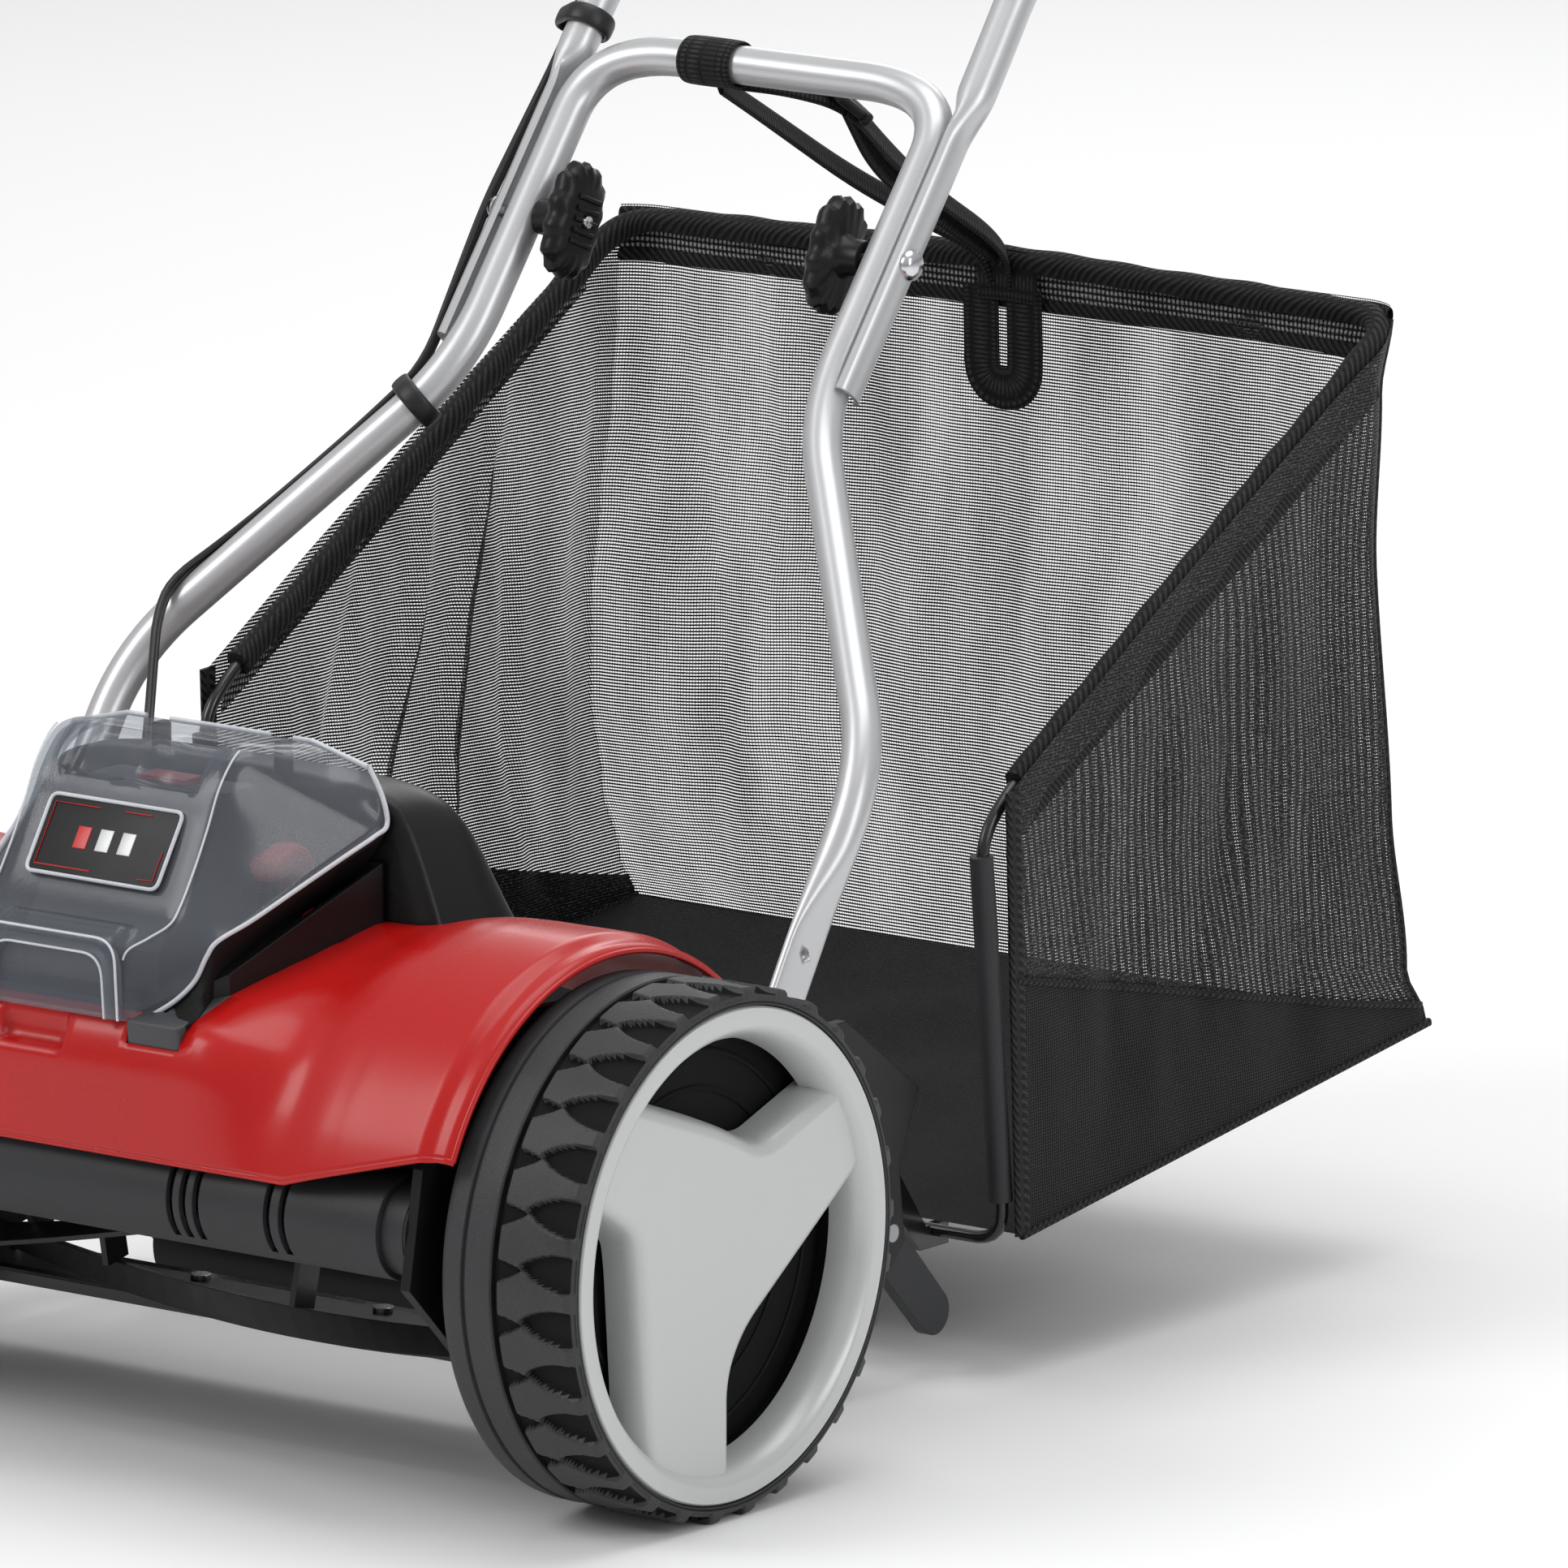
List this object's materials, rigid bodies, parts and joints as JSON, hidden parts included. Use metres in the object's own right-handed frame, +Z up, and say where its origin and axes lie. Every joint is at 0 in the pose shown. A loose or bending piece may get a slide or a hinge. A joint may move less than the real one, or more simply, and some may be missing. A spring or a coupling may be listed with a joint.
{
  "type": "reel mower",
  "caption": "Cordless cylinder lawn mower with a driven helical reel, two treaded wheels, rear roller, folding tube handle and a wire-framed mesh grass bag.",
  "frame": {"origin": "on the ground, at the centre of the whole machine's footprint", "axes": "+X along the axle, +Y from the front of the mower towards the handle and bag, +Z up"},
  "size_m": [0.554, 0.9332, 1.0469],
  "materials": {
    "red_shell": "glossy",
    "dark_housing": "fine textured",
    "black_plastic": "satin",
    "smoke_lid": "smoked clear plastic",
    "badge": "glossy",
    "battery_case": "satin",
    "red_trim": "satin",
    "circuit": "satin",
    "handle_tube": "satin silver lacquer",
    "bright_steel": "polished zinc",
    "plain_steel": "ground",
    "blade_steel": "ground edges",
    "motor_metal": "satin",
    "tyre_rubber": "matt moulded rubber",
    "hub_silver": "satin silver",
    "soft_rubber": "matt",
    "bag_mesh": "woven polyester mesh",
    "webbing": "woven webbing",
    "wire_black": "black powder coat"
  },
  "bodies": {
    "chassis": {"deck_shell": "red_shell", "front_beam": "dark_housing", "side_plate_left": "black_plastic", "side_plate_right": "black_plastic", "control_housing": "black_plastic", "battery_bay": "black_plastic", "control_board": "circuit", "battery_socket": "black_plastic", "bed_knife": "blade_steel", "knife_carrier": "wire_black", "rear_tie_bar": "wire_black", "motor_can": "motor_metal", "drive_belt": "soft_rubber", "wheel_axles": "plain_steel", "axle_clips": "plain_steel", "reel_bearings": "plain_steel", "lower_handle": "handle_tube", "handle_bolts": "bright_steel", "bag_hooks": "wire_black", "clip_lower": "soft_rubber", "cable_lower": "soft_rubber", "body_screws": "bright_steel", "roller_pivot_pins": "plain_steel"},
    "motor_rotor": {"motor_shaft": "plain_steel", "motor_pulley": "black_plastic"},
    "reel": {"reel_shaft": "plain_steel", "reel_spiders": "wire_black", "reel_blades": "blade_steel", "reel_pulley": "black_plastic"},
    "wheel_left": {"tyre_left": "tyre_rubber", "wheel_core_left": "black_plastic", "hub_cover_left": "hub_silver"},
    "wheel_right": {"tyre_right": "tyre_rubber", "wheel_core_right": "black_plastic", "hub_cover_right": "hub_silver"},
    "roller_carrier": {"roller_arms": "black_plastic"},
    "roller": {"rear_roller": "black_plastic"},
    "height_lever": {"height_lever": "dark_housing"},
    "upper_handle": {"upper_handle": "handle_tube", "clamp_bolts": "bright_steel", "grip_sleeves": "soft_rubber", "switch_box": "black_plastic", "clip_upper": "soft_rubber", "cable_upper": "soft_rubber"},
    "knob_left": {"clamp_knob_left": "black_plastic"},
    "knob_right": {"clamp_knob_right": "black_plastic"},
    "bail": {"start_bail": "wire_black"},
    "start_button": {"safety_button": "red_trim"},
    "bag": {"bag_fabric": "bag_mesh", "bag_rim_wire": "wire_black", "bag_side_wires": "wire_black", "bag_front_wire": "wire_black", "bag_leg_sleeves": "black_plastic", "bag_strap": "webbing"},
    "lid": {"lid_shell": "smoke_lid", "badge_plate": "badge"},
    "latch": {"lid_latch": "smoke_lid"},
    "battery": {"battery_pack": "battery_case"},
    "battery_release": {"battery_button": "red_trim"},
    "key": {"safety_key": "red_trim"}
  },
  "joints": [
    {"name": "wheel_left_spin", "type": "hinge", "parent": "chassis", "child": "wheel_left", "pos_m": [0, -0.34482, 0.113], "axis": [1, 0, 0], "continuous": true},
    {"name": "wheel_right_spin", "type": "hinge", "parent": "chassis", "child": "wheel_right", "pos_m": [0, -0.34482, 0.113], "axis": [1, 0, 0], "continuous": true},
    {"name": "reel_spin", "type": "hinge", "parent": "chassis", "child": "reel", "pos_m": [0, -0.34482, 0.113], "axis": [1, 0, 0], "continuous": true},
    {"name": "motor_spin", "type": "hinge", "parent": "chassis", "child": "motor_rotor", "pos_m": [0, -0.43782, 0.129], "axis": [1, 0, 0], "continuous": true},
    {"name": "roller_height", "type": "hinge", "parent": "chassis", "child": "roller_carrier", "pos_m": [0, -0.19882, 0.07], "axis": [1, 0, 0], "range_deg": [0, 25]},
    {"name": "height_lever_turn", "type": "hinge", "parent": "chassis", "child": "height_lever", "pos_m": [0, -0.13082, 0.072], "axis": [1, 0, 0], "range_deg": [-10, 0]},
    {"name": "roller_spin", "type": "hinge", "parent": "roller_carrier", "child": "roller", "pos_m": [0, -0.15282, 0.0225], "axis": [1, 0, 0], "continuous": true},
    {"name": "handle_fold", "type": "hinge", "parent": "chassis", "child": "upper_handle", "pos_m": [0, -0.00482, 0.466], "axis": [1, 0, 0], "range_deg": [0, 135], "deforming": ["cable_upper", "cable_lower"]},
    {"name": "knob_left_turn", "type": "hinge", "parent": "upper_handle", "child": "knob_left", "pos_m": [-0.08, -0.00482, 0.466], "axis": [1, 0, 0], "continuous": true},
    {"name": "knob_right_turn", "type": "hinge", "parent": "upper_handle", "child": "knob_right", "pos_m": [0.08, -0.00482, 0.466], "axis": [1, 0, 0], "continuous": true},
    {"name": "bail_squeeze", "type": "hinge", "parent": "upper_handle", "child": "bail", "pos_m": [0, 0.44821, 1.00037], "axis": [-1, 0, 0], "range_deg": [0, 30], "stiffness_Nm_per_rad": 0.5, "springref_deg": -17.19},
    {"name": "start_button_press", "type": "slide", "parent": "upper_handle", "child": "start_button", "axis": [0, 0.788, -0.6157], "range_m": [0, 0.003], "stiffness_N_per_m": 300, "springref_m": -0.001},
    {"name": "bag_tilt", "type": "hinge", "parent": "chassis", "child": "bag", "pos_m": [0, -0.07182, 0.06], "axis": [1, 0, 0], "range_deg": [0, 14], "deforming": ["bag_strap"]},
    {"name": "lid_open", "type": "hinge", "parent": "chassis", "child": "lid", "pos_m": [0, -0.33982, 0.299], "axis": [-1, 0, 0], "range_deg": [0, 100]},
    {"name": "latch_pull", "type": "hinge", "parent": "lid", "child": "latch", "pos_m": [0, -0.44355, 0.23702], "axis": [-1, 0, 0], "range_deg": [0, 20], "stiffness_Nm_per_rad": 0.05, "springref_deg": -11.46},
    {"name": "battery_slide", "type": "slide", "parent": "chassis", "child": "battery", "axis": [0, 0, 1], "range_m": [0, 0.005]},
    {"name": "battery_button_press", "type": "slide", "parent": "battery", "child": "battery_release", "axis": [0, 0, -1], "range_m": [0, 0.0015], "stiffness_N_per_m": 300, "springref_m": -0.001},
    {"name": "key_pull", "type": "slide", "parent": "chassis", "child": "key", "axis": [0, 0, 1], "range_m": [0, 0.005]}
  ],
  "couplings": [
    {"joint": "motor_spin", "follows": "reel_spin", "ratio": 2.7273},
    {"joint": "height_lever_turn", "follows": "roller_height", "ratio": -0.4}
  ]
}
